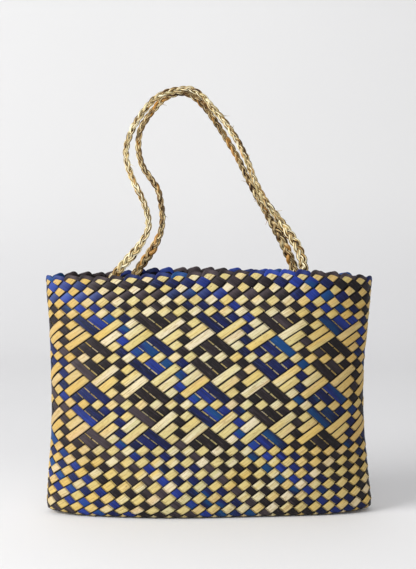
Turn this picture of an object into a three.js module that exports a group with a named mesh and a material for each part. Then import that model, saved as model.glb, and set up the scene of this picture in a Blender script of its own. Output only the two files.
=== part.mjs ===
// Kete: a plaited flax bag with two plaited cord handles held up at their tops.
// Millimetres, +Z up, +X to the right of the front, the front faces -Y.
// The origin is the hand grip, where both handles come together; the flat base is BASE_DROP below it.
import * as THREE from 'three';

// ---------- driving sizes ----------
const BASE_DROP = 501;          // grip down to the flat underside
const GRIP_X = -14;             // the grip lies this far from the bag's middle
const SECTION_POWER = 2.5;      // 2 is an ellipse, higher is squarer
const WALL = 2;                 // woven wall, two layers of strip
const RIM_HEIGHT = 290.5;       // middle of the rim's front above the base
const RING_STEPS = 60;          // facets round the bag
const BAND_HEIGHT = 12;         // the folded band at the mouth
const BAND_OUT = 0.7;           // it stands proud of the wall
const BAND_IN = 1.0;
const GAP = 0.3;
const CORD_WIDTH = 9;           // plaited handle cord
const CORD_SIDES = 10;
const CORD_STEPS = 64;
const KNOT_RADIUS = 6.5;

// Sections of the wall: part of the height, half width, half depth, shift of its middle and turn in degrees.
const SECTIONS = [
  { part: 0.000, halfWidth: 194.0, halfDepth: 38.5, shift: 2.0, turn: 1.5 },
  { part: 0.060, halfWidth: 192.5, halfDepth: 42.0, shift: 1.6, turn: 1.2 },
  { part: 0.140, halfWidth: 190.4, halfDepth: 45.5, shift: 0.9, turn: 0.9 },
  { part: 0.220, halfWidth: 188.3, halfDepth: 49.0, shift: 0.8, turn: 0.6 },
  { part: 0.310, halfWidth: 186.2, halfDepth: 53.0, shift: 0.4, turn: 0.3 },
  { part: 0.430, halfWidth: 184.8, halfDepth: 55.0, shift: -0.3, turn: 0 },
  { part: 0.560, halfWidth: 184.8, halfDepth: 55.0, shift: -1.0, turn: 0 },
  { part: 0.680, halfWidth: 185.8, halfDepth: 53.5, shift: -0.8, turn: 0 },
  { part: 0.820, halfWidth: 188.4, halfDepth: 49.0, shift: 0.3, turn: 0 },
  { part: 0.920, halfWidth: 190.6, halfDepth: 45.0, shift: 0.6, turn: 0 },
  { part: 1.000, halfWidth: 191.6, halfDepth: 43.5, shift: 1.6, turn: 0 },
];

// The rim's height across the bag, for the front and the back wall: across runs from -1 at the left end to 1 at the right.
const RIM_LINE = [
  { across: -1.00, front: 282.0, back: 282.0 },
  { across: -0.82, front: 283.2, back: 284.6 },
  { across: -0.60, front: 280.2, back: 284.6 },
  { across: -0.42, front: 283.0, back: 287.4 },
  { across: -0.20, front: 287.6, back: 289.0 },
  { across: 0.05, front: 291.6, back: 289.0 },
  { across: 0.30, front: 291.8, back: 287.2 },
  { across: 0.55, front: 290.2, back: 286.6 },
  { across: 0.76, front: 288.2, back: 285.6 },
  { across: 0.90, front: 285.0, back: 283.4 },
  { across: 1.00, front: 281.0, back: 281.0 },
];

// The base's ends lift off the floor.
const BASE_LIFT = 3.6;
const BASE_FLAT = 0.72;         // flat out to this part of the half width

// Rounding under the base: how far in and how high each ring lies.
const BASE_ROUND = [
  { inset: 0.6, height: 3.4 },
  { inset: 2.0, height: 1.4 },
  { inset: 5.5, height: 0.0 },
];

// Routes of the handles in the bag's own frame, from the left end to the right: the ends lie inside the mouth.
const HANDLE_FRONT = [
  { x: -121, y: -30.2, z: 255 }, { x: -115.5, y: -30.0, z: 270 }, { x: -106, y: -30.4, z: 286 },
  { x: -92, y: -31.4, z: 302 }, { x: -77.6, y: -31.4, z: 320 }, { x: -69, y: -30.6, z: 338 },
  { x: -69.8, y: -28.6, z: 354 }, { x: -74.8, y: -26.4, z: 368.6 }, { x: -87.8, y: -22.4, z: 396 },
  { x: -94.0, y: -19.6, z: 414 }, { x: -94.8, y: -16.8, z: 431.7 }, { x: -89.7, y: -14.2, z: 448 },
  { x: -82.4, y: -11.8, z: 462.8 }, { x: -71.8, y: -9.2, z: 477.6 }, { x: -60.0, y: -7.2, z: 489.6 },
  { x: -47.5, y: -5.9, z: 496.0 }, { x: -34.4, y: -5.2, z: 498.6 }, { x: -20.0, y: -5.1, z: 499.4 },
  { x: -6.5, y: -6.4, z: 491.0 }, { x: 6, y: -9.6, z: 477 }, { x: 25.2, y: -14.2, z: 453.3 },
  { x: 41.5, y: -19.0, z: 425 }, { x: 54.8, y: -24.0, z: 391.2 }, { x: 62.2, y: -26.6, z: 376.5 },
  { x: 84.2, y: -30.4, z: 345.4 }, { x: 103.4, y: -31.4, z: 317.6 }, { x: 109.6, y: -30.8, z: 302 },
  { x: 111.4, y: -30.0, z: 288 }, { x: 113.5, y: -29.8, z: 272 }, { x: 118, y: -30.0, z: 257 },
];
const HANDLE_BACK = [
  { x: -97, y: 33.0, z: 255 }, { x: -93, y: 32.8, z: 270 }, { x: -84.6, y: 33.2, z: 286 },
  { x: -72.8, y: 34.6, z: 302.2 }, { x: -63.4, y: 33.6, z: 317.6 }, { x: -56.6, y: 32.0, z: 332.8 },
  { x: -54.8, y: 30.0, z: 348 }, { x: -56.4, y: 27.6, z: 366.7 }, { x: -60.4, y: 25.2, z: 383.4 },
  { x: -68.8, y: 23.2, z: 396.8 }, { x: -77.0, y: 21.2, z: 408.4 }, { x: -81.2, y: 19.0, z: 421.7 },
  { x: -82.7, y: 16.6, z: 436.6 }, { x: -80.0, y: 14.0, z: 453 }, { x: -71.4, y: 11.2, z: 467.7 },
  { x: -61.2, y: 8.8, z: 479.8 }, { x: -52.9, y: 7.0, z: 488.2 }, { x: -42.6, y: 5.8, z: 493.8 },
  { x: -30.0, y: 5.2, z: 496.0 }, { x: -16.0, y: 6.0, z: 491.0 }, { x: -2.0, y: 9.4, z: 477.2 },
  { x: 9.1, y: 12.4, z: 462.4 }, { x: 19.7, y: 15.2, z: 446 }, { x: 31.9, y: 18.4, z: 426.5 },
  { x: 48.9, y: 23.4, z: 393.2 }, { x: 58.2, y: 26.0, z: 375.1 }, { x: 81.6, y: 31.0, z: 335.1 },
  { x: 91.2, y: 32.0, z: 318 }, { x: 98.0, y: 32.2, z: 302.6 }, { x: 104.4, y: 31.6, z: 286 },
  { x: 109, y: 31.0, z: 271 }, { x: 113, y: 31.0, z: 256 },
];

// ---------- materials ----------
const straw = new THREE.MeshStandardMaterial({ color: 0xd9bf7c, roughness: 0.55, metalness: 0 });
const blue = new THREE.MeshStandardMaterial({ color: 0x26357c, roughness: 0.5, metalness: 0 });
const cordFlax = new THREE.MeshStandardMaterial({ color: 0xb89f62, roughness: 0.7, metalness: 0 });

// ---------- the wall as a function ----------
function fromTable(table, key, at, column) {
  let i = 0;
  while (i < table.length - 2 && at > table[i + 1][key]) i++;
  const a = table[i], b = table[i + 1];
  const k = THREE.MathUtils.clamp((at - a[key]) / (b[key] - a[key]), 0, 1);
  // smooth through neighbours, so that the wall has no creases between rows
  const p = table[Math.max(0, i - 1)], n = table[Math.min(table.length - 1, i + 2)];
  const span = b[key] - a[key];
  const slopeA = (b[column] - p[column]) / (b[key] - p[key] || span) * span;
  const slopeB = (n[column] - a[column]) / (n[key] - a[key] || span) * span;
  const k2 = k * k, k3 = k2 * k;
  return (2 * k3 - 3 * k2 + 1) * a[column] + (k3 - 2 * k2 + k) * slopeA
    + (3 * k2 - 2 * k3) * b[column] + (k3 - k2) * slopeB;
}

function squaredPoint(angle, halfWidth, halfDepth) {
  const c = Math.cos(angle), s = Math.sin(angle), e = 2 / SECTION_POWER;
  return new THREE.Vector2(
    -halfWidth * Math.sign(c) * Math.pow(Math.abs(c), e),
    -halfDepth * Math.sign(s) * Math.pow(Math.abs(s), e));
}

// One outline of the bag: points evenly spaced along it, from the left end round the front to the right end and back.
function outline(part, inset) {
  const a = fromTable(SECTIONS, 'part', part, 'halfWidth') - inset;
  const b = fromTable(SECTIONS, 'part', part, 'halfDepth') - inset;
  const shift = fromTable(SECTIONS, 'part', part, 'shift');
  const turn = THREE.MathUtils.degToRad(fromTable(SECTIONS, 'part', part, 'turn'));
  const fine = [], lengths = [0];
  const steps = 720;
  for (let i = 0; i <= steps; i++) {
    fine.push(squaredPoint(i / steps * Math.PI * 2, a, b));
    if (i) lengths.push(lengths[i - 1] + fine[i].distanceTo(fine[i - 1]));
  }
  const points = [];
  let i = 0;
  for (let j = 0; j < RING_STEPS; j++) {
    const want = lengths[steps] * j / RING_STEPS;
    while (lengths[i + 1] < want) i++;
    const k = (want - lengths[i]) / (lengths[i + 1] - lengths[i]);
    const q = fine[i].clone().lerp(fine[i + 1], k);
    points.push({
      x: shift + q.x * Math.cos(turn) - q.y * Math.sin(turn),
      y: q.x * Math.sin(turn) + q.y * Math.cos(turn),
      across: THREE.MathUtils.clamp(q.x / a, -1, 1),
      front: q.y <= 0 ? 1 : 0,
    });
  }
  return points;
}

function baseLift(across) {
  const k = THREE.MathUtils.clamp((Math.abs(across) - BASE_FLAT) / (1 - BASE_FLAT), 0, 1);
  return BASE_LIFT * k * k * (3 - 2 * k);
}

function rimHeight(p) {
  return fromTable(RIM_LINE, 'across', p.across, p.front ? 'front' : 'back');
}

// A ring of the wall at a part of the height; drop lowers it from there, down along the wall.
function wallRing(part, inset, drop = 0) {
  return outline(part, inset).map((p) => {
    const low = baseLift(p.across), high = rimHeight(p);
    return new THREE.Vector3(p.x, p.y, low + (high - low) * part - drop);
  });
}

function baseRing(inset, height) {
  return outline(0, inset).map((p) => new THREE.Vector3(p.x, p.y, baseLift(p.across) + height));
}

// ---------- closed solids from rings ----------
function solidFromRings(rings, closeEnds) {
  const positions = [], index = [], n = RING_STEPS;
  rings.forEach((ring) => ring.forEach((p) => positions.push(p.x, p.y, p.z)));
  const last = rings.length - 1;
  const count = closeEnds ? last : last + 1;
  for (let r = 0; r < count; r++) {
    const r2 = (r + 1) % rings.length;
    for (let j = 0; j < n; j++) {
      const j2 = (j + 1) % n;
      const a = r * n + j, b = r * n + j2, c = r2 * n + j2, d = r2 * n + j;
      index.push(a, c, b, a, d, c);
    }
  }
  if (closeEnds) {
    // both ends are spanned from the front wall to the back wall
    for (const [start, flip] of [[0, true], [last * n, false]]) {
      for (let j = 0; j < n / 2; j++) {
        const a = start + j, b = start + j + 1;
        const c = start + (n - j - 1) % n, d = start + (n - j) % n;
        const faces = [];
        if (j === 0) faces.push([a, b, c]);
        else if (j === n / 2 - 1) faces.push([a, b, d]);
        else faces.push([a, b, c], [a, c, d]);
        for (const f of faces) index.push(...(flip ? f : [f[0], f[2], f[1]]));
      }
    }
  }
  const geometry = new THREE.BufferGeometry();
  geometry.setAttribute('position', new THREE.Float32BufferAttribute(positions, 3));
  geometry.setIndex(index);
  geometry.computeVertexNormals();
  return geometry;
}

const kete = new THREE.Group();
kete.position.set(-GRIP_X, 0, -BASE_DROP);

function add(name, geometry, material) {
  const mesh = new THREE.Mesh(geometry, material);
  mesh.name = name;
  kete.add(mesh);
  return mesh;
}

// ---------- the woven body ----------
const LEVELS = [0.035, 0.08, 0.14, 0.22, 0.31, 0.43, 0.56, 0.68, 0.78, 0.86, 0.93];
const bandTop = (part, inset) => wallRing(1, inset, (1 - part) * BAND_HEIGHT);
const inner = [], outer = [];
inner.push(baseRing(WALL + 5.5, WALL));
inner.push(baseRing(WALL + 2.0, WALL + 1.4));
inner.push(baseRing(WALL + 0.6, WALL + 3.4));
for (const part of LEVELS) {
  inner.push(wallRing(part, WALL));
  outer.push(wallRing(part, 0));
}
inner[inner.length - 1] = wallRing(1, WALL, BAND_HEIGHT + GAP);
outer[outer.length - 1] = wallRing(1, 0, BAND_HEIGHT + GAP);
const bodyRings = [...inner, ...outer.reverse()];
for (const row of BASE_ROUND) bodyRings.push(baseRing(row.inset, row.height));
add('woven_body', solidFromRings(bodyRings, true), straw);

// ---------- the folded band round the mouth ----------
const bandRings = [
  bandTop(0, -BAND_OUT),
  bandTop(0.85, -BAND_OUT),
  bandTop(1, 0.3),
  bandTop(1, WALL - 0.3),
  bandTop(0.85, WALL + BAND_IN),
  bandTop(0, WALL + BAND_IN),
].reverse();
add('rim_band', solidFromRings(bandRings, false), blue);

// ---------- the handles ----------
function handleGeometry(route) {
  const curve = new THREE.CatmullRomCurve3(route.map((p) => new THREE.Vector3(p.x, p.y, p.z)), false, 'centripetal');
  const section = new THREE.Shape();
  for (let i = 0; i < CORD_SIDES; i++) {
    const a = i / CORD_SIDES * Math.PI * 2, r = CORD_WIDTH / 2;
    if (i) section.lineTo(r * Math.cos(a), r * Math.sin(a)); else section.moveTo(r, 0);
  }
  section.closePath();
  return new THREE.ExtrudeGeometry(section, { steps: CORD_STEPS, extrudePath: curve, bevelEnabled: false });
}
add('handle_front', handleGeometry(HANDLE_FRONT), cordFlax);
add('handle_back', handleGeometry(HANDLE_BACK), cordFlax);

// ---------- plain end knots inside the mouth ----------
function knot(name, end, next) {
  const a = new THREE.Vector3(end.x, end.y, end.z), b = new THREE.Vector3(next.x, next.y, next.z);
  const away = a.clone().sub(b).normalize();
  const mesh = add(name, new THREE.SphereGeometry(KNOT_RADIUS, 12, 8), cordFlax);
  mesh.position.copy(a).addScaledVector(away, KNOT_RADIUS + GAP);
}
knot('knot_front_left', HANDLE_FRONT[0], HANDLE_FRONT[1]);
knot('knot_front_right', HANDLE_FRONT[HANDLE_FRONT.length - 1], HANDLE_FRONT[HANDLE_FRONT.length - 2]);
knot('knot_back_left', HANDLE_BACK[0], HANDLE_BACK[1]);
knot('knot_back_right', HANDLE_BACK[HANDLE_BACK.length - 1], HANDLE_BACK[HANDLE_BACK.length - 2]);

const root = new THREE.Group();
root.add(kete);
export default root;
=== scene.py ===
"""Kete: a plaited flax bag with two plaited cord handles held up at their tops.

Metres in the row frame. The weave is built strip by strip over the wall that the frame gives:
every light strip and every dyed strip is one ribbon that goes over and under the others.
Sizes in the tables are millimetres in the bag's own frame, whose zero is the middle of its base.
"""
import math

import bpy
import numpy as np
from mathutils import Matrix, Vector


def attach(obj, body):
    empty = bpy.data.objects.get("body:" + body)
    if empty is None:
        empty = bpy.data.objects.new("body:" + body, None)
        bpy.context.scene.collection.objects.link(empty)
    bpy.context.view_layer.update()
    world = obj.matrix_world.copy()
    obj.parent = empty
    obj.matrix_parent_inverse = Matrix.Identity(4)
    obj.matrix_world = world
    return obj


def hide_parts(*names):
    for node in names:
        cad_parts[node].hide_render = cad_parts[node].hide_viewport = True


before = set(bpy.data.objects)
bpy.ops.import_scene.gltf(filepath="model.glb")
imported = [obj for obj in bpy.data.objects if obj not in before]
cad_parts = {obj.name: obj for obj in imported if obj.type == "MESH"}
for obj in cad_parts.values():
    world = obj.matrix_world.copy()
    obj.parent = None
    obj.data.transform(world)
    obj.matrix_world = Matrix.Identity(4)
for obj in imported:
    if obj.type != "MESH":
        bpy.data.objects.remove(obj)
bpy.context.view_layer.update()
rng = np.random.default_rng(11)

# the bag's own zero in the row frame, in millimetres
BAG = np.array([14.0, 0.0, -501.0])

# ------------------------------------------------------------------ the wall
SECTION_POWER = 2.5
SECTIONS = {
    "part":       [0, .06, .14, .22, .31, .43, .56, .68, .82, .92, 1],
    "half_width": [194, 192.5, 190.4, 188.3, 186.2, 184.8, 184.8, 185.8, 188.4, 190.6, 191.6],
    "half_depth": [38.5, 42, 45.5, 49, 53, 55, 55, 53.5, 49, 45, 43.5],
    "shift":      [2, 1.6, .9, .8, .4, -.3, -1, -.8, .3, .6, 1.6],
    "turn":       [1.5, 1.2, .9, .6, .3, 0, 0, 0, 0, 0, 0],
}
RIM_LINE = {
    "across": [-1, -.82, -.6, -.42, -.2, .05, .3, .55, .76, .9, 1],
    "front":  [282, 284.8, 284.4, 286.8, 288.8, 291.6, 291.8, 290.2, 288.2, 285, 281],
    "back":   [282, 284.6, 284.6, 287.4, 289, 289, 287.2, 286.6, 285.6, 283.4, 281],
}
BASE_LIFT, BASE_FLAT = 3.6, .72

# rows of crossings, counted down from the eighth row under the mouth: their part of the height
ROWS = {
    "row":  [-9, -4, -1, 8, 16, 24, 34, 36],
    "part": [1.045, .9285, .858, .6564, .468, .2821, .0433, -.0035],
}
# columns of crossings at the left end, the front's middle and the right end, row by row
COLUMNS = {
    "row":    [-4, 8, 16, 24, 34, 41],
    "left":   [-25.70, -25.25, -25.25, -25.10, -23.75, -24],
    "middle": [-2.55, -1.80, -1.20, -1.20, -.45, 0],
    "right":  [20.75, 22.10, 22.85, 23.90, 23.90, 24],
}
# places where the rows on the front sag or rise: across, row, reach across, reach in rows, height
SAGS = [
    (-.42, 33.0, .34, 4.5, -3.4),
    (-.96, 12.0, .16, 8.0, 2.8),
    (.80, 20.0, .20, 6.0, -2.0),
    (.62, -4.0, .16, 3.5, 1.5),
]


def smooth(k):
    k = np.clip(k, 0, 1)
    return k * k * (3 - 2 * k)


def look_up(table, key, column, at):
    """Smooth reading of a table through its neighbouring rows."""
    keys, values = np.array(table[key], float), np.array(table[column], float)
    at = np.asarray(at, float)
    i = np.clip(np.searchsorted(keys, at, side="left") - 1, 0, len(keys) - 2)
    a, b, va, vb = keys[i], keys[i + 1], values[i], values[i + 1]
    k = np.clip((at - a) / (b - a), 0, 1)
    before, after = np.maximum(i - 1, 0), np.minimum(i + 2, len(keys) - 1)
    span = b - a
    slope_a = (vb - values[before]) / (b - keys[before]) * span
    slope_b = (values[after] - va) / (keys[after] - a) * span
    k2, k3 = k * k, k * k * k
    return ((2 * k3 - 3 * k2 + 1) * va + (k3 - 2 * k2 + k) * slope_a
            + (3 * k2 - 2 * k3) * vb + (k3 - k2) * slope_b)


def base_lift(across):
    return BASE_LIFT * smooth((np.abs(across) - BASE_FLAT) / (1 - BASE_FLAT))


PARTS, TURNS = 161, 1201


def wall_grid():
    parts, turns = np.linspace(0, 1.05, PARTS), np.linspace(0, 1, TURNS)
    angle = np.linspace(0, 2 * np.pi, 2881)
    c, s, e = np.cos(angle), np.sin(angle), 2 / SECTION_POWER
    grid = np.zeros((PARTS, TURNS, 3))
    front = turns <= .5
    for i, part in enumerate(parts):
        at = min(part, 1.0)
        a = float(look_up(SECTIONS, "part", "half_width", at))
        b = float(look_up(SECTIONS, "part", "half_depth", at))
        shift = float(look_up(SECTIONS, "part", "shift", at))
        turn = math.radians(float(look_up(SECTIONS, "part", "turn", at)))
        x = -a * np.sign(c) * np.abs(c) ** e
        y = -b * np.sign(s) * np.abs(s) ** e
        run = np.concatenate([[0], np.cumsum(np.hypot(np.diff(x), np.diff(y)))])
        x, y = np.interp(turns, run / run[-1], x), np.interp(turns, run / run[-1], y)
        across = np.clip(x / a, -1, 1)
        low = base_lift(across)
        plain = np.where(front, 291.2 - 9.6 * across ** 2, 289.4 - 7.8 * across ** 2)
        rim = np.where(front, look_up(RIM_LINE, "across", "front", across),
                       look_up(RIM_LINE, "across", "back", across))
        high = plain + smooth((part - .87) / .13) * (rim - plain)
        grid[i, :, 0] = shift + x * math.cos(turn) - y * math.sin(turn)
        grid[i, :, 1] = x * math.sin(turn) + y * math.cos(turn)
        grid[i, :, 2] = low + (high - low) * part
    along = np.zeros_like(grid)
    along[:, 1:-1] = grid[:, 2:] - grid[:, :-2]
    along[:, 0] = along[:, -1] = grid[:, 1] - grid[:, -2]
    up = np.gradient(grid, axis=0)
    out = np.cross(along, up)
    out /= np.linalg.norm(out, axis=2, keepdims=True)
    return grid, out


WALL_GRID, WALL_OUT = wall_grid()


def read_grid(grid, f, part):
    f = np.mod(f, 1.0) * (TURNS - 1)
    p = np.clip(part / 1.05 * (PARTS - 1), 0, PARTS - 1.001)
    i, j = np.minimum(np.floor(f).astype(int), TURNS - 2), np.floor(p).astype(int)
    u, v = (f - i)[..., None], (p - j)[..., None]
    return (grid[j, i] * (1 - u) * (1 - v) + grid[j, i + 1] * u * (1 - v)
            + grid[j + 1, i] * (1 - u) * v + grid[j + 1, i + 1] * u * v)


def turn_of(column, row):
    """How far round the bag a crossing lies: 0 left end, .25 front, .5 right end, .75 back."""
    held = np.maximum(row, -4)
    # the fold at the mouth draws the last rows a little to the left
    column = column - .29 * np.clip(-4 - row, 0, 2.2)
    left, middle, right = (look_up(COLUMNS, "row", k, held) for k in ("left", "middle", "right"))
    t = (column - middle) / 96
    d_right, d_left = .25 - (right - middle) / 96, -.25 - (left - middle) / 96
    odd, even = (d_right - d_left) / 2, (d_right + d_left) / 2
    x = 2 * np.pi * t
    return .25 + t + odd * .9 * (np.sin(x) - np.sin(3 * x) / 9) + even * (1 - np.cos(2 * x)) / 2


SKIN = .45                    # the weave's middle lies this far inside the outline
ROUND_ROW, ROUND_RADIUS, ROUND_ROWS, SEAM_ROW = 34.76, 5.05, 1.17, 41.0
EDGE_LIFT = .8              # the base's long edges stand a little off the floor
WAVES = [(int(k), float(r), float(p), float(q), float(a)) for k, r, p, q, a in zip(
    [3, 5, 7, 9, 12, 15, 4, 8], rng.uniform(.05, .34, 8), rng.uniform(0, 6.28, 8),
    rng.uniform(0, 6.28, 8), [.34, .30, .26, .20, .14, .10, .24, .2])]


def surface(column, row, height):
    """Points of the weave in millimetres: height is measured outward from the wall's middle."""
    column, row, height = np.broadcast_arrays(
        np.asarray(column, float), np.asarray(row, float), np.asarray(height, float))
    height = height * (1 - .4 * smooth((row - 34) / 2))
    f = turn_of(column, row)
    part = look_up(ROWS, "row", "part", np.minimum(row, ROUND_ROW))
    middle = read_grid(WALL_GRID, f, part)
    out = read_grid(WALL_OUT, f, part)
    out = out / np.linalg.norm(out, axis=-1, keepdims=True)
    across = middle[..., 0] / 190
    front = smooth((.0 - middle[..., 1]) / 20 + .5)
    for a, r, wide, tall, rise in SAGS:
        shape = np.exp(-((across - a) / wide) ** 2 - ((row - r) / tall) ** 2)
        middle[..., 2] += rise * shape * front * smooth((36 - row) / 3)
    # the foot of the front bows out a little left of the middle
    bow = 6.0 * np.exp(-((across + .22) / .42) ** 2) * front * smooth((row - 25) / 9)
    middle = middle + out * [1, 1, 0] * bow[..., None]
    wave = sum(a * np.cos(2 * np.pi * k * column / 96 + p) * np.cos(r * row + q)
               for k, r, p, q, a in WAVES)
    wave = wave * smooth((34 - row) / 8) * smooth((row + 7) / 6)
    point = middle + out * (height - SKIN + wave)[..., None]
    # round the edge of the base and across its underside to the seam along its middle
    low = row > ROUND_ROW
    if low.any():
        m, o, h, r = middle[low], out[low], height[low], row[low]
        flat = o * [1, 1, 0]
        flat /= np.linalg.norm(flat, axis=-1, keepdims=True)
        lift = base_lift((m[:, 0] - 2) / 194)
        # the two ends turn under more sharply, after a short straight drop
        radius = ROUND_RADIUS - 2.6 * smooth((np.abs((m[:, 0] - 2) / 194) - .74) / .2)
        corner = m - flat * (radius + SKIN)[:, None]
        corner[:, 2] = lift + EDGE_LIFT + 1.0 + radius
        drop = ROUND_RADIUS - radius
        run = np.clip((r - ROUND_ROW) / ROUND_ROWS, 0, 1) * (drop + radius * np.pi / 2)
        angle = np.clip((run - drop) / radius, 0, np.pi / 2)
        bend = corner + flat * ((radius + h) * np.cos(angle))[:, None]
        bend[:, 2] += np.clip(drop - run, 0, drop) - (radius + h) * np.sin(angle)
        turn = math.radians(1.5)
        reach = (corner[:, 0] - 2) * math.cos(turn) + corner[:, 1] * math.sin(turn)
        seam = np.stack([2 + reach * math.cos(turn), reach * math.sin(turn), bend[:, 2] - EDGE_LIFT], -1)
        k = np.clip((r - ROUND_ROW - ROUND_ROWS) / (SEAM_ROW - ROUND_ROW - ROUND_ROWS), 0, 1)
        point[low] = bend + (seam - bend) * k[:, None]
    return point


# ------------------------------------------------------------------ the pattern
# 96 half columns go round the bag. Light strip I leans right and dyed strip J leans left, and they
# cross at column I + J and row I - J. In the plain weave the light strip is on top in even rows.
# In the charted rows the order repeats every eight: L light on top, D dyed on top.
CHART = ["LLLL", "DDDD", "DLLD", "LDLD", "LLLL", "LDLD", "DLLD", "DDDD"]
CHART_ROWS = (0, 24)


def light_on_top(column, row):
    if CHART_ROWS[0] <= row <= CHART_ROWS[1]:
        return CHART[row % 8][(column % 8) // 2] == "L"
    return row % 2 == 0


def is_blue(number):
    return (number + 2) % 8 < 4


PITCH = 10.7                  # strip to strip, across the strips
THICK = .5
# how far a strip's middle lies from the wall's middle where it shows, how much more it swells
# there, how much higher its middle is than its edges, and half its width in pitches
LIGHT = {"rest": .38, "swell": .70, "crown": .50, "half": .438}
DARK = {"rest": .28, "swell": .36, "crown": .24, "half": .436}
PLAIN_HALF = {True: .450, False: .392}   # the same half width where every other crossing is over
LATERAL = np.array([-1, -.62, 0, .62, 1, .86, -.86])
TOP_POINTS = 5
OFFSETS = [-.5, -.45, -.35, .35, .45]


def wander(count, strength, periods):
    """A smooth seeded line along a strip."""
    at = np.arange(count) / count
    return sum(strength / len(periods) * math.sqrt(2) * rng.uniform(.6, 1.2)
               * np.sin(2 * np.pi * p * at + rng.uniform(0, 6.28)) for p in periods)


def section_heights(height, crown):
    """Heights round a strip's section, arched towards whichever side it shows on."""
    bow = np.clip(height / .5, -1, 1)[:, None] * crown * (1 - LATERAL ** 2)[None, :]
    up = np.where(np.arange(len(LATERAL)) < TOP_POINTS, THICK / 2, -THICK / 2)
    return height[:, None] + up[None, :] + bow - .35 * crown * np.sign(bow)


def body_strip(light, number):
    """One strip of the wall, from the seam under the base to just under the mouth's fold."""
    kind = LIGHT if light else DARK
    rest, swell = kind["rest"], kind["swell"]
    start = number - 41 if light else number + 41
    step = 1 if light else -1
    count = 47
    signs = []
    for k in range(count + 2):
        other = start + step * k
        i, j = (number, other) if light else (other, number)
        on_top = light_on_top(i + j, i - j)
        signs.append(1 if on_top == light else -1)
    distance, height, wide, dive_shade = [], [], [], []
    for k in range(count + 1):
        here = signs[k]
        before = signs[k - 1] if k else here
        after = signs[k + 1]
        puff = swell if here > 0 else swell * .45
        if k == 47:
            puff *= .5
        if not light and here > 0 and 41 - k in (-5, -3):
            puff += .4
        row = 41 - k
        usual = kind["half"] if CHART_ROWS[0] <= row <= CHART_ROWS[1] else PLAIN_HALF[light]
        # two rows of dyed cells under the mouth are broad, where the folded ends lie beneath them
        broad = not light and here > 0 and row in (-5, -3)
        for o in OFFSETS:
            beside = before if o < 0 else after
            turning = beside != here or k == 47
            if here < 0 and abs(o) < .46:
                wide.append(.478)
            elif broad:
                wide.append(.485 if abs(o) > .46 else .53 if abs(o) > .4 else .56)
            else:
                ends = (.455, usual - .022) if light else (.47, usual + .012)
                wide.append((ends[0] if abs(o) > .46 else ends[1] if abs(o) > .4 else usual) if turning else usual)
            shade = (1.0 if abs(o) > .46 else .6 if abs(o) > .4 else 0) if turning else 0
            # painted shade: a dyed strip is darkened most where it comes out from under a light one's lower edge, on
            # the shadow side; light strips and a dyed strip's other end get about a third of it
            shade = shade * (.35 if light or o < 0 else 1)
            # painted shade: a dyed strip's stretches hidden under light ones are darkened fully
            dive_shade.append(shade if light or here > 0 else 1)
            if k == 47 and o > 0:
                # the last stretch lies down flat under the fold at the mouth
                h = here * (rest * .9 + puff * (.28 if o < .4 else .08))
            elif abs(o) < .4:
                h = here * (rest + puff)
            elif abs(o) < .46:
                h = here * (rest + puff * .92) if beside == here else here * (rest * .95 + puff * .42)
            else:
                h = here * (rest + puff * .84) if beside == here else 0
            distance.append(k + o)
            height.append(h)
    last = 47.45                          # rows above the seam where the strip ends, inside the rim
    distance, height = np.array(distance), np.array(height, float)
    keep = (distance >= 0) & (distance < last - .02)
    wide, dive_shade = np.array(wide)[keep], np.array(dive_shade)[keep]
    distance, height = distance[keep], height[keep]
    distance = np.concatenate([[0.0], distance, [last]])
    height, wide, dive_shade = (np.concatenate([[v[0]], v, [v[-1]]]) for v in (height, wide, dive_shade))
    n = len(distance)
    # the dyed strips spread and the light ones are drawn in just under the mouth
    tight = np.exp(-((distance - 45.2) / 1.25) ** 2) * (height > 0)
    half = wide * (1 + wander(n, .022, (2, 5, 9))) * (1 + tight * (-.15 if light else 0))
    side = wander(n, .016, (3, 7)) * smooth((47 - distance) / 3)
    height = height + wander(n, .035, (6, 14, 23))
    u = number + side[:, None] + half[:, None] * LATERAL
    slant = half[:, None] * LATERAL * np.clip(1 - distance / 2, 0, 1)[:, None]
    slant = slant + half[:, None] * LATERAL * np.clip(distance - last + 1, 0, 1)[:, None]
    v = (start + step * distance)[:, None] + slant
    heights = section_heights(height, kind["crown"]) + LATERAL * wander(n, .035, (4, 11))[:, None]
    column, row = u + v, (u - v if light else v - u)
    points = surface(column, row, heights)
    fibre, shade_and_sheen = fibre_of(distance, half, number + (0 if light else 50), dive_shade)
    # the light strips are yellower towards the bag's two ends, and darkened there as painted shade; both ease to half
    # towards the foot
    across = points[..., 0] / 190
    if light:
        shade_and_sheen[..., 2] = smooth((np.abs(across + .03) - .42) / .5) * (1 - .5 * smooth((row - 23) / 8))
    else:
        # painted highlight: the dyed ones are made paler in two rows under the mouth and a little towards the left
        # end; painted shade: they are made duller at the right
        sheen_and_pale_fibre = np.exp(-((distance - 44.1) / .34) ** 2) + .5 * np.exp(-((distance - 46.1) / .34) ** 2)
        shade_and_sheen[..., 2] = sheen_and_pale_fibre[:, None] + .26 * smooth((-across - .45) / .4) - .8 * smooth((across - .35) / .5)
    # painted shade: the edge of the foot is darkened, and the underside a little, as the shadow where the bag meets
    # the floor
    foot_shade = .9 * smooth((row - 35.15) / .5) * (1 - .75 * smooth((row - 36.1) / .7))
    shade_and_sheen[..., 1] = np.maximum(shade_and_sheen[..., 1], foot_shade)
    return points, (fibre, shade_and_sheen)


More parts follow.
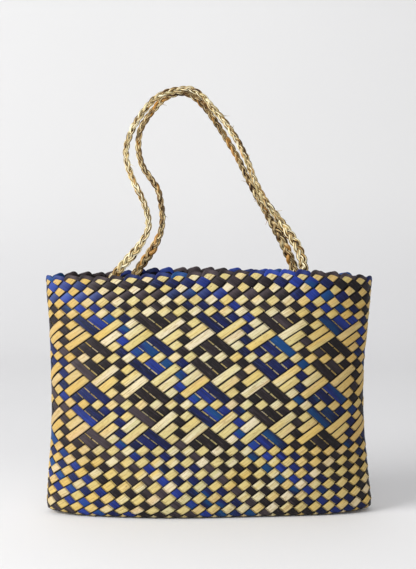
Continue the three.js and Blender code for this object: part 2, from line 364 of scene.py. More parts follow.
def fibre_of(distance, half, number, dive_shade):
    """Strip coordinates for the materials, in metres: along, across and the strip's own tone."""
    tone = TONES[number % 100]
    fibre = np.zeros((len(distance), len(LATERAL), 3))
    fibre[..., 0] = (distance * PITCH / 1000)[:, None] + tone * 3.1
    fibre[..., 1] = LATERAL * half[:, None] * PITCH / 1000 + number * .043
    fibre[..., 2] = tone
    shade_and_sheen = np.zeros(fibre.shape)
    # painted shade: a light strip's lower edge is darkened more than its upper one
    side = np.where(LATERAL > 0, 1, .9) if number % 100 < 50 else 1
    shade_and_sheen[..., 0], shade_and_sheen[..., 1] = np.abs(LATERAL) * side, dive_shade[:, None]
    return fibre, shade_and_sheen


TONES = rng.random(100)
# A dyed strip's end at the mouth: it turns over the top of the light strip beside it as an arch and
# tucks in behind the next one. Columns from that light strip's middle and rows of its upper and
# lower outline, how high it lies on the face, and how far along it is.
ARCH = {
    "at":         [0, .15, .35, .55, .70, .82, .92, 1],
    "top_column": [1.80, 1.45, .95, .35, -.10, -.50, -.82, -1.02],
    "top_row":    [-6.22, -6.44, -6.70, -6.90, -7.03, -6.84, -6.32, -5.80],
    "low_column": [1.50, 1.15, .72, .25, -.15, -.42, -.70, -.92],
    "low_row":    [-5.60, -5.80, -6.06, -6.28, -6.34, -6.14, -5.84, -5.54],
    "height":     [.05, .62, 1.02, 1.16, 1.26, 1.52, 1.50, .45],
}


def rim_arch(number):
    steps = 27
    k = np.linspace(0, 1, steps)
    tc, tr, lc, lr, h = (look_up(ARCH, "at", c, k) for c in ("top_column", "top_row", "low_column", "low_row", "height"))
    middle = 2 * number - 8
    lift = rng.uniform(-.14, .14)
    lean = rng.uniform(-.16, .16)
    reach = rng.uniform(.92, 1.14)
    h = h * rng.uniform(.94, 1.06)
    tr = tr + lift * smooth((k - .1) / .3) * smooth((1 - k) / .2)
    tc, lc = tc + lean * np.sin(np.pi * k), lc + lean * .5 * np.sin(np.pi * k)
    lr = tr + (lr - tr) * reach
    # the outer line of the section runs up the face, over the top and down inside
    columns, rows, heights, edges = [], [], [], []

    def add(share, turned, thin, edge):
        """share: 0 at the lower outline, 1 at the top's start; turned: degrees over the top."""
        face = -1 if turned > 90 else 1
        a = math.radians(turned)
        round_rows = np.minimum(.20, (lr - tr) * .45)
        row = lr + (tr + round_rows - lr) * share - (round_rows - thin * .07) * math.sin(a) * (share >= 1)
        bulge = .16 * math.sin(math.pi * min(share, 1)) - (.22 if share < .05 else 0)
        high = (h + bulge) * (abs(math.cos(a)) if share >= 1 else 1) - thin * (abs(math.cos(a)) if share >= 1 else 1)
        columns.append(lc + (tc - lc) * share)
        rows.append(row)
        heights.append(high * face)
        edges.append(np.full(steps, edge))

    for share, edge in ((0, 1), (.3, .5), (.65, .1)):
        add(share, 0, 0, edge)
    for turned in (0, 35, 65, 90, 115, 145, 180):
        add(1, turned, 0, 0)
    for share, edge in ((.65, .1), (.3, .5), (0, 1)):
        add(share, 180, 0, edge)
    for share in (.1, .6):
        add(share, 180, .42, .8)
    for turned in (150, 90, 30):
        add(1, turned, .42, .5)
    for share in (.6, .1):
        add(share, 0, .42, .8)
    columns, rows, heights, edges = (np.array(v).T for v in (columns, rows, heights, edges))
    points = surface(middle + columns, rows, heights)
    tone = TONES[number + 50]
    fibre = np.zeros(points.shape)
    fibre[..., 0] = (47 + k * 2.3)[:, None] * PITCH / 1000 + tone * 3.1
    fibre[..., 1] = np.linspace(-.5, .5, points.shape[1])[None, :] * .014 + (number + 50) * .043
    fibre[..., 2] = .25 + tone           # painted highlight: the fold is made paler than the wall
    shade_and_sheen = np.zeros(points.shape)
    # painted shade along the arch's lower outlines and where it comes up out of the weave, and painted highlight on
    # its crest
    shade_and_sheen[..., 0], shade_and_sheen[..., 1] = edges, .8 * smooth(1 - k / .16)[:, None]
    shade_and_sheen[..., 2] = (.55 * np.exp(-((k - .5) / .22) ** 2))[:, None]
    return points, (fibre, shade_and_sheen)


# ------------------------------------------------------------------ meshes
def tube_faces(rings, around, first):
    """Quads of a closed tube and its two end faces, as lists of corner numbers."""
    i, j = np.meshgrid(np.arange(rings - 1), np.arange(around), indexing="ij")
    n = (j + 1) % around
    quads = np.stack([i * around + j, i * around + n, (i + 1) * around + n, (i + 1) * around + j], -1)
    return quads.reshape(-1, 4) + first


def mesh_of(name, tubes, material, body="root", sharp=38.0, columns=None):
    """tubes: (points, (fibre, wear)) with points (rings, around, 3) in bag millimetres."""
    coords, fibres, edges, corners, starts, uvs = [], [], [], [], [], []
    first = total = 0
    lanes = columns or len(tubes)
    for lane, (points, (fibre, shade_and_sheen)) in enumerate(tubes):
        rings, around = points.shape[:2]
        quads = tube_faces(rings, around, 0)
        flat = points.reshape(-1, 3)
        a, b, c = flat[quads[:, 0]], flat[quads[:, 1]], flat[quads[:, 2]]
        centre = flat.mean(0)
        volume = np.einsum("ij,ij->i", a - centre, np.cross(b - centre, c - centre)).sum()
        # where each corner lies in the bake's layout: one lane per tube
        u = np.tile(np.array([0, 1, 1, 0]), (len(quads), 1)) + np.repeat(np.tile(np.arange(around), rings - 1)[:, None], 4, 1)
        v = np.tile(np.array([0, 0, 1, 1]), (len(quads), 1)) + np.repeat(np.repeat(np.arange(rings - 1), around)[:, None], 4, 1)
        uv = np.stack([(lane + .06 + .88 * u / around) / lanes, .01 + .98 * v / (rings - 1)], -1)
        ends = [np.arange(around)[::-1], (rings - 1) * around + np.arange(around)]
        if volume < 0:
            quads, uv = quads[:, ::-1], uv[:, ::-1]
            ends = [e[::-1] for e in ends]
        corners.append(quads.reshape(-1) + first)
        uvs.append(uv.reshape(-1, 2))
        starts.append(total + np.arange(len(quads)) * 4)
        total += len(quads) * 4
        for k, e in enumerate(ends):
            corners.append(e + first)
            uvs.append(np.stack([np.full(around, (lane + .5) / lanes), np.linspace(.001, .009, around) + (0 if k == 0 else .99)], -1))
            starts.append(np.array([total]))
            total += around
        coords.append(flat)
        fibres.append(fibre.reshape(-1, 3))
        edges.append(shade_and_sheen.reshape(-1, 3))
        first += len(flat)
    coords = (np.concatenate(coords) + BAG) / 1000
    corners, starts = np.concatenate(corners), np.concatenate(starts)
    me = bpy.data.meshes.new(name)
    me.vertices.add(len(coords))
    me.vertices.foreach_set("co", coords.astype(np.float32).reshape(-1))
    me.loops.add(len(corners))
    me.loops.foreach_set("vertex_index", corners.astype(np.int32))
    me.polygons.add(len(starts))
    me.polygons.foreach_set("loop_start", starts.astype(np.int32))
    me.update(calc_edges=True)
    me.validate()
    layer = me.attributes.new("fibre", "FLOAT_VECTOR", "POINT")
    layer.data.foreach_set("vector", np.concatenate(fibres).astype(np.float32).reshape(-1))
    layer = me.attributes.new("shade_and_sheen", "FLOAT_VECTOR", "POINT")
    layer.data.foreach_set("vector", np.concatenate(edges).astype(np.float32).reshape(-1))
    uv_layer = me.uv_layers.new(name="OFBake")
    uv_layer.data.foreach_set("uv", np.concatenate(uvs).astype(np.float32).reshape(-1))
    me.shade_smooth()
    me.set_sharp_from_angle(angle=math.radians(sharp))
    me.materials.append(material)
    piece = bpy.data.objects.new(name, me)
    bpy.context.scene.collection.objects.link(piece)
    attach(piece, body)
    return piece


# ------------------------------------------------------------------ materials
class Nodes:
    """A few short calls for building a material's nodes."""

    def __init__(self, name, roughness=.5, specular=.5):
        self.material = bpy.data.materials.new(name)
        self.material.use_nodes = True
        self.tree = self.material.node_tree
        self.shader = self.tree.nodes["Principled BSDF"]
        self.shader.inputs["Roughness"].default_value = roughness
        self.shader.inputs["Specular IOR Level"].default_value = specular

    def new(self, kind, **values):
        node = self.tree.nodes.new(kind)
        for key, value in values.items():
            setattr(node, key, value)
        return node

    def link(self, a, b):
        self.tree.links.new(a, b)

    def fibre(self):
        node = self.new("ShaderNodeAttribute", attribute_type="GEOMETRY", attribute_name="fibre")
        parts = self.new("ShaderNodeSeparateXYZ")
        self.link(node.outputs["Vector"], parts.inputs[0])
        return parts.outputs

    def shade_and_sheen(self):
        """Masks for painted shade and highlight: how near a strip's edge (on a cord, its hollows), how near where a
        strip goes under and the foot's edge, and how near the bag's ends on light strips (painted highlight and shade
        on dyed ones).
        """
        node = self.new("ShaderNodeAttribute", attribute_type="GEOMETRY", attribute_name="shade_and_sheen")
        parts = self.new("ShaderNodeSeparateXYZ")
        self.link(node.outputs["Vector"], parts.inputs[0])
        return parts.outputs

    def math(self, operation, a, b=None, c=None, clamp=False):
        node = self.new("ShaderNodeMath", operation=operation, use_clamp=clamp)
        for socket, value in zip(node.inputs, (a, b, c)):
            if value is None:
                continue
            if isinstance(value, (int, float)):
                socket.default_value = value
            else:
                self.link(value, socket)
        return node.outputs[0]

    def noise(self, along, across, tone, stretch, detail=2.0, rough=.5, shift=0.0):
        """Noise in strip coordinates, stretched along the strip."""
        v = self.new("ShaderNodeCombineXYZ")
        self.link(self.math("MULTIPLY", along, stretch[0]), v.inputs[0])
        self.link(self.math("MULTIPLY", across, stretch[1]), v.inputs[1])
        self.link(self.math("MULTIPLY_ADD", tone, 37.0, shift), v.inputs[2])
        n = self.new("ShaderNodeTexNoise", noise_dimensions="3D")
        n.inputs["Scale"].default_value = 1.0
        n.inputs["Detail"].default_value = detail
        n.inputs["Roughness"].default_value = rough
        self.link(v.outputs[0], n.inputs["Vector"])
        return n.outputs["Fac"]

    def span(self, value, low, high, to_low=0.0, to_high=1.0):
        node = self.new("ShaderNodeMapRange", interpolation_type="SMOOTHSTEP")
        for key, v in (("From Min", low), ("From Max", high), ("To Min", to_low), ("To Max", to_high)):
            node.inputs[key].default_value = v
        self.link(value, node.inputs["Value"])
        return node.outputs["Result"]

    def ramp(self, value, stops):
        node = self.new("ShaderNodeValToRGB")
        r = node.color_ramp
        while len(r.elements) < len(stops):
            r.elements.new(.5)
        for element, (at, colour) in zip(r.elements, stops):
            element.position = at
            element.color = (*linear(colour), 1)
        self.link(value, node.inputs[0])
        return node.outputs[0]

    def mix(self, amount, a, b, blend="MIX"):
        node = self.new("ShaderNodeMix", data_type="RGBA", blend_type=blend, clamp_factor=True)
        for socket, value in ((node.inputs[0], amount), (node.inputs[6], a), (node.inputs[7], b)):
            if isinstance(value, (int, float)):
                socket.default_value = value
            elif isinstance(value, tuple):
                socket.default_value = (*linear(value), 1)
            else:
                self.link(value, socket)
        return node.outputs[2]

    def finish(self, colour, roughness, bump, distance, strength=1.0):
        self.link(colour, self.shader.inputs["Base Color"])
        if roughness is not None:
            self.link(roughness, self.shader.inputs["Roughness"])
        b = self.new("ShaderNodeBump")
        b.inputs["Distance"].default_value = distance
        b.inputs["Strength"].default_value = strength
        self.link(bump, b.inputs["Height"])
        self.link(b.outputs[0], self.shader.inputs["Normal"])
        return self.material


def linear(colour):
    return tuple((c / 255 / 12.92) if c <= 10 else ((c / 255 + .055) / 1.055) ** 2.4 for c in colour)


def straw_material():
    """Undyed flax: cream, gold and greenish strips with fine lengthwise fibres and brown flecks."""
    m = Nodes("natural_flax_strip", specular=.35)
    along, across, tone = m.fibre()
    edge, dive_shade, ends = m.shade_and_sheen()
    broad = m.noise(along, across, tone, (20, 240), 2.0, .55)
    streak = m.noise(along, across, tone, (34, 700), 3.0, .62, 4.0)
    fine = m.noise(along, across, tone, (110, 2600), 2.0, .5, 9.0)
    # each strip has its own place between pale, green and gold, and drifts along its length
    drift = m.noise(along, across, tone, (11, 30), 1.5, .5, 15.0)
    level = m.math("ADD", m.math("MULTIPLY", broad, .45), m.math("MULTIPLY", tone, .55))
    base = m.ramp(level, [(.22, (200, 183, 120)), (.36, (211, 195, 132)), (.50, (218, 208, 168)),
                          (.62, (223, 210, 180)), (.76, (199, 191, 140))])
    gold = m.span(m.math("MULTIPLY_ADD", ends, .17, drift), .46, .74)
    colour = m.mix(m.math("MULTIPLY", gold, .66), base, (221, 184, 84))
    # painted shade: the light strips are darkened towards the bag's two ends
    colour = m.mix(m.math("MULTIPLY", ends, .66), colour, (178, 140, 66))
    green = m.span(m.noise(along, across, tone, (9, 45), 1.0, .5, 21.0), .55, .74)
    colour = m.mix(m.math("MULTIPLY", green, .45), colour, (190, 184, 122))
    blush = m.span(m.noise(along, across, tone, (14, 50), 1.0, .5, 27.0), .60, .76)
    colour = m.mix(m.math("MULTIPLY", blush, .40), colour, (206, 168, 128))
    dark = m.span(streak, .50, .68)
    colour = m.mix(m.math("MULTIPLY", dark, .60), colour, (156, 126, 74))
    grain = m.noise(along, across, tone, (150, 520), 2.0, .6, 51.0)
    colour = m.mix(m.math("MULTIPLY", m.span(grain, .50, .66), .34), colour, (158, 130, 78))
    pale = m.span(fine, .54, .76)
    colour = m.mix(m.math("MULTIPLY", pale, .34), colour, (236, 222, 184))
    fleck = m.span(m.noise(along, across, tone, (240, 1000), 1.0, .5, 33.0), .67, .74)
    patchy = m.span(m.noise(along, across, tone, (18, 40), 1.0, .5, 47.0), .42, .64)
    colour = m.mix(m.math("MULTIPLY", m.math("MULTIPLY", fleck, patchy), .8), colour, (112, 74, 38))
    # painted shade: the strip's edges are darkened nearly to black, the lower edge most
    colour = m.mix(m.math("MULTIPLY", m.span(edge, .74, .96), .95), colour, (28, 20, 12))
    # painted shade: browner where the strip goes under its neighbour, darker at the corners there, and near black
    # along the foot's edge
    colour = m.mix(m.math("MULTIPLY", m.span(dive_shade, .10, .36), .26), colour, (110, 80, 40))
    colour = m.mix(m.math("MULTIPLY", m.span(m.math("MULTIPLY", edge, dive_shade), .16, .34), .7), colour, (44, 31, 18))
    colour = m.mix(m.math("MULTIPLY", m.span(dive_shade, .45, .85), .9), colour, (22, 17, 13))
    relief = m.math("ADD", m.math("MULTIPLY", streak, .6), m.math("MULTIPLY", fine, .4))
    return m.finish(colour, m.span(streak, .3, .7, .46, .64), relief, .00022, .9)


def dyed_material(name, tones, teal=None, gloss=(.46, .62)):
    """Dyed flax: deep colour that varies along the fibres, paler along fine streaks, with painted highlight and
    painted shade.
    """
    m = Nodes(name, specular=.22)
    along, across, tone = m.fibre()
    edge, dive_shade, dyed_sheen_and_shade = m.shade_and_sheen()
    broad = m.noise(along, across, tone, (20, 220), 2.0, .55)
    streak = m.noise(along, across, tone, (34, 800), 3.0, .6, 4.0)
    fine = m.noise(along, across, tone, (90, 2600), 2.0, .5, 9.0)
    level = m.math("ADD", m.math("MULTIPLY", broad, .5), m.math("MULTIPLY", streak, .5))
    level = m.math("ADD", m.math("MULTIPLY", level, .7), m.math("MULTIPLY", tone, .3))
    base = m.ramp(level, [(.32, tones[0]), (.5, tones[1]), (.68, tones[2])])
    if teal:
        base = m.mix(m.span(m.noise(along, across, tone, (12, 34), 1.0, .5, 19.0), .57, .68, 0, .85), base, teal)
    sheen_and_pale_fibre = m.span(fine, .56, .76)
    colour = m.mix(m.math("MULTIPLY", sheen_and_pale_fibre, .34), base, tones[3])
    # painted highlight where the mask is above zero, painted shade where it is below zero
    colour = m.mix(m.math("MULTIPLY", m.span(dyed_sheen_and_shade, .05, 1.0), .40), colour, tones[3])
    colour = m.mix(m.math("MULTIPLY", m.span(m.math("MULTIPLY", dyed_sheen_and_shade, -1.0), .05, .8), .45), colour, tones[0])
    # painted shade: darker at the strip's edges, near black where it goes under a light strip, where it lies hidden
    # and along the foot's edge
    colour = m.mix(m.math("MULTIPLY", m.span(edge, .74, 1.0), .4), colour, tones[0])
    colour = m.mix(m.math("MULTIPLY", m.span(dive_shade, .15, 1.0), .92), colour, (7, 6, 8))
    relief = m.math("ADD", m.math("MULTIPLY", streak, .6), m.math("MULTIPLY", fine, .4))
    return m.finish(colour, m.span(streak, .3, .7, *gloss), relief, .00022, .9)


def cord_material(name, shade, amber_from):
    """Rolled and plaited fibre: pale bundles with painted shade in the hollows between them and a few brown and
    orange shreds.
    """
    m = Nodes(name, specular=.30)
    along, across, tone = m.fibre()
    bundle = m.noise(along, across, tone, (60, 640), 2.5, .62)
    hair = m.noise(along, across, tone, (140, 3600), 2.0, .5, 6.0)
    patch = m.noise(along, across, tone, (48, 60), 2.0, .5, 13.0)
    base = m.ramp(bundle, [(.42, shade[5]), (.470, shade[0]), (.503, shade[1]), (.535, shade[2]), (.60, shade[3])])
    colour = m.mix(m.math("MULTIPLY", m.span(patch, .50, .68), .55), base, shade[4])
    amber = m.span(m.noise(along, across, tone, (30, 90), 1.0, .5, 41.0), amber_from, amber_from + .07)
    colour = m.mix(m.math("MULTIPLY", amber, .7), colour, (206, 142, 48))
    shred = m.span(m.noise(along, across, tone, (110, 1500), 1.0, .5, 29.0), .62, .70)
    colour = m.mix(m.math("MULTIPLY", shred, .7), colour, (92, 62, 30))
    colour = m.mix(m.math("MULTIPLY", m.span(hair, .58, .8), .40), colour, (232, 222, 184))
    # painted shade: the hollows between the bundles are darkened
    colour = m.mix(m.math("MULTIPLY", m.span(m.shade_and_sheen()[0], .25, .9), .9), colour, shade[5])
    relief = m.math("ADD", m.math("MULTIPLY", bundle, .65), m.math("MULTIPLY", hair, .35))
    return m.finish(colour, m.span(hair, .3, .7, .5, .72), relief, .0007, 1.0)


STRAW = straw_material()
BLUE = dyed_material("blue_flax_strip", [(6, 12, 38), (13, 23, 80), (28, 54, 142), (94, 114, 178)], teal=(2, 62, 108))
BLACK = dyed_material("black_flax_strip", [(13, 9, 10), (27, 20, 22), (62, 53, 57), (124, 110, 114)])
CORD_PALE = cord_material("handle_flax_pale", [(146, 104, 50), (228, 192, 116), (248, 232, 176), (255, 249, 220), (206, 190, 134), (50, 32, 15)], .65)
CORD_DEEP = cord_material("handle_flax_deep", [(96, 61, 31), (170, 128, 74), (218, 188, 126), (244, 229, 182), (162, 140, 92), (30, 19, 10)], .59)

# ------------------------------------------------------------------ the woven body and its rim
light = [body_strip(True, i) for i in range(48)]
for name, part in (("weave_straw_left", light[:24]), ("weave_straw_right", light[24:])):
    piece = mesh_of(name, part, STRAW)
    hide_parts("woven_body")
for name, slot, test, material in (
        ("weave_blue", "blue_flax", True, BLUE), ("weave_black", "black_flax", False, BLACK)):
    piece = mesh_of(name, [body_strip(False, j) for j in range(48) if is_blue(j) == test], material)
    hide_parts("woven_body")
for name, slot, test, material in (
        ("rim_blue", "blue_flax", True, BLUE), ("rim_black", "black_flax", False, BLACK)):
    piece = mesh_of(name, [rim_arch(j) for j in range(48) if is_blue(j) == test], material)
    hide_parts("rim_band")

# ------------------------------------------------------------------ the handles
HANDLE_FRONT = [
    (-121, -30.2, 255), (-115.5, -30.0, 270), (-106, -30.4, 286), (-92, -31.4, 302), (-77.6, -31.4, 320),
    (-69, -30.6, 338), (-69.8, -28.6, 354), (-74.8, -26.4, 368.6), (-87.8, -22.4, 396), (-94.0, -19.6, 414),
    (-94.8, -16.8, 431.7), (-89.7, -14.2, 448), (-82.4, -11.8, 462.8), (-71.8, -9.2, 477.6), (-60.0, -7.2, 489.6),
    (-47.5, -5.9, 496.0), (-34.4, -5.2, 498.6), (-20.0, -5.1, 499.4), (-6.5, -6.4, 491.0), (6, -9.6, 477),
    (25.2, -14.2, 453.3), (41.5, -19.0, 425), (54.8, -24.0, 391.2), (62.2, -26.6, 376.5), (83.8, -30.4, 345.4),
    (102.8, -31.4, 317.6), (109.0, -30.8, 302), (110.9, -30.0, 288), (113.5, -29.8, 272), (118, -30.0, 257),
]
HANDLE_BACK = [
    (-97, 33.0, 255), (-93, 32.8, 270), (-84.6, 33.2, 286), (-72.8, 34.6, 302.2), (-63.4, 33.6, 317.6),
    (-56.6, 32.0, 332.8), (-54.8, 30.0, 348), (-56.4, 27.6, 366.7), (-60.4, 25.2, 383.4), (-68.8, 23.2, 396.8),
    (-77.0, 21.2, 408.4), (-81.2, 19.0, 421.7), (-82.7, 16.6, 436.6), (-80.0, 14.0, 453), (-71.4, 11.2, 467.7),
    (-61.2, 8.8, 479.8), (-52.9, 7.0, 488.2), (-42.6, 5.8, 493.8), (-30.0, 5.2, 496.0), (-16.0, 6.0, 491.0),
    (-2.0, 9.4, 477.2), (9.1, 12.4, 462.4), (19.7, 15.2, 446), (31.9, 18.4, 426.5), (48.9, 23.4, 393.2),
    (58.2, 26.0, 375.1), (81.8, 31.0, 335.1), (91.4, 32.0, 318), (98.0, 32.2, 302.6), (104.4, 31.6, 286),
    (109, 31.0, 271), (113, 31.0, 256),
]
PLAIT_PERIOD = 29.0           # each strand comes back to the same place
PLAIT_WIDE, PLAIT_DEEP = 2.2, 1.45
STRAND_WIDE, STRAND_DEEP = 1.70, 1.45


def route_line(route, step=.8):
    """The centripetal spline through the route, at even steps of length."""
    p = np.array(route, float)
    p = np.vstack([2 * p[0] - p[1], p, 2 * p[-1] - p[-2]])
    points = []
    for i in range(1, len(p) - 2):
        a, b, c, d = p[i - 1:i + 3]
        t0, t1, t2 = (max(np.linalg.norm(v) ** .5, 1e-4) for v in (b - a, c - b, d - c))
        m1 = ((b - a) / t0 - (c - a) / (t0 + t1) + (c - b) / t1) * t1
        m2 = ((c - b) / t1 - (d - b) / (t1 + t2) + (d - c) / t2) * t1
        k = np.linspace(0, 1, 40, endpoint=False)[:, None]
        points.append((2 * k ** 3 - 3 * k ** 2 + 1) * b + (k ** 3 - 2 * k ** 2 + k) * m1
                      + (3 * k ** 2 - 2 * k ** 3) * c + (k ** 3 - k ** 2) * m2)
    points = np.vstack([*points, p[-2][None]])
    run = np.concatenate([[0], np.cumsum(np.linalg.norm(np.diff(points, axis=0), axis=1))])
    at = np.arange(0, run[-1], step)
    return np.stack([np.interp(at, run, points[:, k]) for k in range(3)], -1), at


def unit(v):
    return v / np.linalg.norm(v, axis=-1, keepdims=True)


def frames_along(line, front=(0.0, -1.0, 0.0)):
    tangent = unit(np.gradient(line, axis=0))
    face = np.broadcast_to(np.array(front), line.shape)
    face = unit(face - tangent * (face * tangent).sum(-1, keepdims=True))
    return tangent, face, np.cross(tangent, face)


def tube(line, face, side, wide, deep, shape, tone, lane, at):
    """A tube with a grooved section; wide and deep may change along it."""
    around = len(shape)
    angle = np.arange(around) / around * 2 * np.pi
    ring = (side[:, None, :] * (np.cos(angle) * shape)[None, :, None] * np.reshape(wide, (-1, 1, 1))
            + face[:, None, :] * (np.sin(angle) * shape)[None, :, None] * np.reshape(deep, (-1, 1, 1)))
    points = line[:, None, :] + ring
    fibre = np.zeros(points.shape)
    fibre[..., 0] = (at / 1000)[:, None] + tone * 2.3
    fibre[..., 1] = np.abs(angle - np.pi)[None, :] * .0023 + lane * .031
    fibre[..., 2] = tone
    # painted shade mask: the hollows between a bundle's strips
    hollow_shade = np.clip((1.02 - shape) / .16, 0, 1) if around > 9 else np.zeros(around)
    shade_and_sheen = np.zeros(points.shape)
    shade_and_sheen[..., 0] = hollow_shade
    return points, (fibre, shade_and_sheen)


def groove(around, deep=.16, count=5):
    """A bundle's section: rounded strips side by side with hollows between them."""
    angle = np.arange(around) / around * 2 * np.pi
    wave = np.abs(np.sin(angle * count / 2 + rng.uniform(0, 6)))
    return 1 - deep * (1 - wave) ** 2 + rng.uniform(-.02, .02, around)


def plait(route, phase):
    line, at = route_line(route)
    tangent, face, side = frames_along(line)
    twist = .10 * np.sin(at / 47 + phase) + .08 * np.sin(at / 19 + 2 * phase)
    face, side = (face * np.cos(twist)[:, None] + side * np.sin(twist)[:, None],
                  side * np.cos(twist)[:, None] - face * np.sin(twist)[:, None])
    tubes = []
    pace = at + 1.6 * np.sin(at / 61 + phase) + .7 * np.sin(at / 23)
    # the plait is looser and broader in its last stretches before the mouth, most at the right
    loose = 1 + .46 * smooth((90 - at) / 30) + .52 * smooth((118 - (at[-1] - at)) / 42)
    for strand in range(3):
        theta = 2 * np.pi * (pace / PLAIT_PERIOD + strand / 3) + phase
        grow = loose * (1 + .06 * np.sin(at / 31 + strand * 2.1 + phase) + .04 * np.sin(at / 11.3 + strand))
        middle = (line + side * (PLAIT_WIDE * loose * np.sin(theta))[:, None]
                  + face * (PLAIT_DEEP * np.sin(2 * theta))[:, None])
        t = unit(np.gradient(middle, axis=0))
        f = unit(face - t * (face * t).sum(-1, keepdims=True))
        s = np.cross(t, f)
        # each bundle lies over its neighbours' shoulders
        roll = .35 * np.cos(theta)
        f, s = (f * np.cos(roll)[:, None] + s * np.sin(roll)[:, None],
                s * np.cos(roll)[:, None] - f * np.sin(roll)[:, None])
        tubes.append(tube(middle, f, s, STRAND_WIDE * grow, STRAND_DEEP * grow / loose ** .5, groove(20),
                          float(rng.random()), strand, at))
    return tubes, line, tangent, face, side, at


def stubs(line, tangent, face, side, count, lane):
    """Short fibre ends that stand off a cord."""
    tubes = []
    for n in range(count):
        i = int(rng.uniform(.10, .92) * len(line))
        turn = rng.uniform(0, 2 * np.pi)
        out = side[i] * math.cos(turn) + face[i] * math.sin(turn)
        length = rng.uniform(3.0, 9.0)
        lean = tangent[i] * rng.choice([-1, 1]) * rng.uniform(.5, 1.4)
        k = np.linspace(0, 1, 9)[:, None]
        base = line[i] + out * 3.2
        curl = np.cross(out, tangent[i]) * rng.uniform(-.5, .5)
        path = base + (unit(out + lean) * k + curl * k ** 2 * .8) * length
        t, f, s = frames_along(path, tuple(np.cross(out, tangent[i])))
        size = .42 * (1 - .75 * k[:, 0])
        tubes.append(tube(path, f, s, size, size * .6, np.ones(6), float(rng.random()), lane + n, k[:, 0] * length))
    return tubes


def knot(end, before, phase):
    """A small overhand knot with a short brush of fibre ends."""
    end, before = np.array(end, float), np.array(before, float)
    away = unit(end - before)
    centre = end + away * 6.8
    t = np.linspace(0, 2 * np.pi, 121)
    shape = np.stack([np.sin(t) + 2 * np.sin(2 * t), np.cos(t) - 2 * np.cos(2 * t), -1.1 * np.sin(3 * t)], -1)
    sidewise = unit(np.cross(away, [0, 1.0, .2]))
    third = np.cross(sidewise, away)
    path = centre + 1.45 * (shape[:, :1] * sidewise + shape[:, 1:2] * away + shape[:, 2:] * third)
    tangent, f, s = frames_along(path, tuple(third + .3 * away))
    wide = 2.25 + .15 * np.sin(5 * t + phase)
    tubes = [tube(path, f, s, wide, wide * .85, groove(16, .14, 4), float(rng.random()), 7, t * 6)]
    for n in range(9):
        spread = sidewise * rng.uniform(-.5, .5) + third * rng.uniform(-.5, .5)
        k = np.linspace(0, 1, 10)[:, None]
        length = rng.uniform(6, 12)
        path = centre + away * 4.2 + spread * 2.0 + (away * k + spread * k ** 1.6 * .9) * length
        t2, f2, s2 = frames_along(path, (.1, -1.0, .2))
        size = .75 * (1 - .45 * k[:, 0])
        tubes.append(tube(path, f2, s2, size, size * .7, np.ones(7), float(rng.random()), 9 + n, k[:, 0] * length))
    return tubes


for node, route, phase, material, loose in (
        ("handle_front", HANDLE_FRONT, .4, CORD_PALE, 16), ("handle_back", HANDLE_BACK, 2.2, CORD_DEEP, 13)):
    tubes, line, tangent, face, side, at = plait(route, phase)
    piece = mesh_of("plait_" + node, tubes + stubs(line, tangent, face, side, loose, 20), material, sharp=60)
    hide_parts(node)
    for where, end, before in (("left", route[0], route[1]), ("right", route[-1], route[-2])):
        piece = mesh_of("tied_" + node + "_" + where, knot(end, before, phase), material, sharp=60)
        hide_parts(node.replace("handle", "knot") + "_" + where)

# ------------------------------------------------------------------ camera
camera_data = bpy.data.cameras.new("camera")
camera_data.sensor_fit = "VERTICAL"
camera_data.sensor_width = 36
camera_data.sensor_height = 36
camera_data.lens = 1271 / 569 * 36
camera = bpy.data.objects.new("camera", camera_data)
camera.location = (.014, -1.5, -.126)
camera.rotation_euler = (math.radians(90 - 3.98), 0, 0)
bpy.context.scene.collection.objects.link(camera)
bpy.context.scene.camera = camera

# ------------------------------------------------------------------ studio
FLOOR = -.501


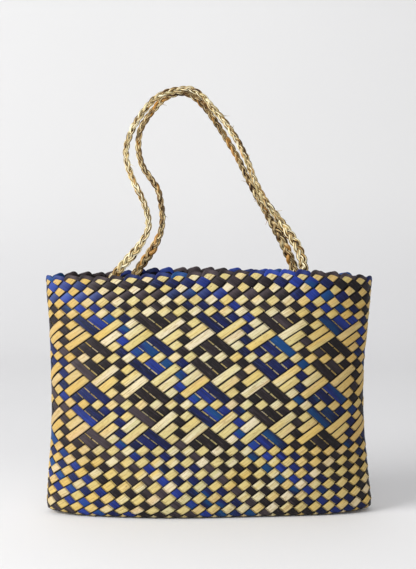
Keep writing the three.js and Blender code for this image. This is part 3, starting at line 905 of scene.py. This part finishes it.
def studio():
    profile = [(-9.0, FLOOR), (1.3, FLOOR)]
    for a in np.linspace(0, 90, 17)[1:]:
        r = math.radians(a)
        profile.append((1.3 + .9 * math.sin(r), FLOOR + .9 * (1 - math.cos(r))))
    profile.append((2.2, 3.6))
    verts, faces = [], []
    for x in (-8.0, 8.0):
        verts += [(x, y, z) for y, z in profile]
    n = len(profile)
    for i in range(n - 1):
        faces.append((i, n + i, n + i + 1, i + 1))
    me = bpy.data.meshes.new("studio_sweep")
    me.from_pydata(verts, [], faces)
    me.shade_smooth()
    m = Nodes("studio_paper", roughness=.85, specular=.2)
    place = m.new("ShaderNodeTexCoord")
    cloud = m.new("ShaderNodeTexNoise")
    cloud.inputs["Scale"].default_value = 2.0
    m.link(place.outputs["Object"], cloud.inputs["Vector"])
    parts = m.new("ShaderNodeSeparateXYZ")
    m.link(place.outputs["Object"], parts.inputs[0])
    paper = m.ramp(cloud.outputs["Fac"], [(.3, (238, 238, 239)), (.7, (241, 241, 242))])
    # painted shade: the paper is darker further back, up the wall and towards the left
    paper = m.mix(m.span(parts.outputs[1], -.08, .42), paper, (228, 228, 229))
    paper = m.mix(m.span(parts.outputs[2], -.40, -.05), paper, (235, 235, 235))
    paper = m.mix(m.math("MULTIPLY", m.span(parts.outputs[0], .1, -.4), .13), paper, (214, 214, 214))
    m.link(paper, m.shader.inputs["Base Color"])
    me.materials.append(m.material)
    sweep = bpy.data.objects.new("studio_sweep", me)
    bpy.context.scene.collection.objects.link(sweep)


def area_light(name, place, target, size, power, colour=(1, 1, 1)):
    data = bpy.data.lights.new(name, "AREA")
    data.shape = "DISK"
    data.size, data.energy, data.color = size, power, colour
    lamp = bpy.data.objects.new(name, data)
    lamp.location = place
    lamp.rotation_euler = (Vector(target) - Vector(place)).to_track_quat("-Z", "Y").to_euler()
    bpy.context.scene.collection.objects.link(lamp)


studio()
area_light("key", (-2.6, -1.6, 1.15), (0, 0, -.3), 2.0, 108, (1, .995, .985))
area_light("fill", (.2, -2.6, .7), (0, 0, -.3), 1.8, 8, (1, .995, .99))
world = bpy.data.worlds.new("studio_world")
world.use_nodes = True
world.node_tree.nodes["Background"].inputs["Color"].default_value = (.985, .985, 1, 1)
world.node_tree.nodes["Background"].inputs["Strength"].default_value = .58
bpy.context.scene.world = world
bpy.context.scene.view_settings.view_transform = "Standard"
bpy.context.scene.view_settings.look = "None"
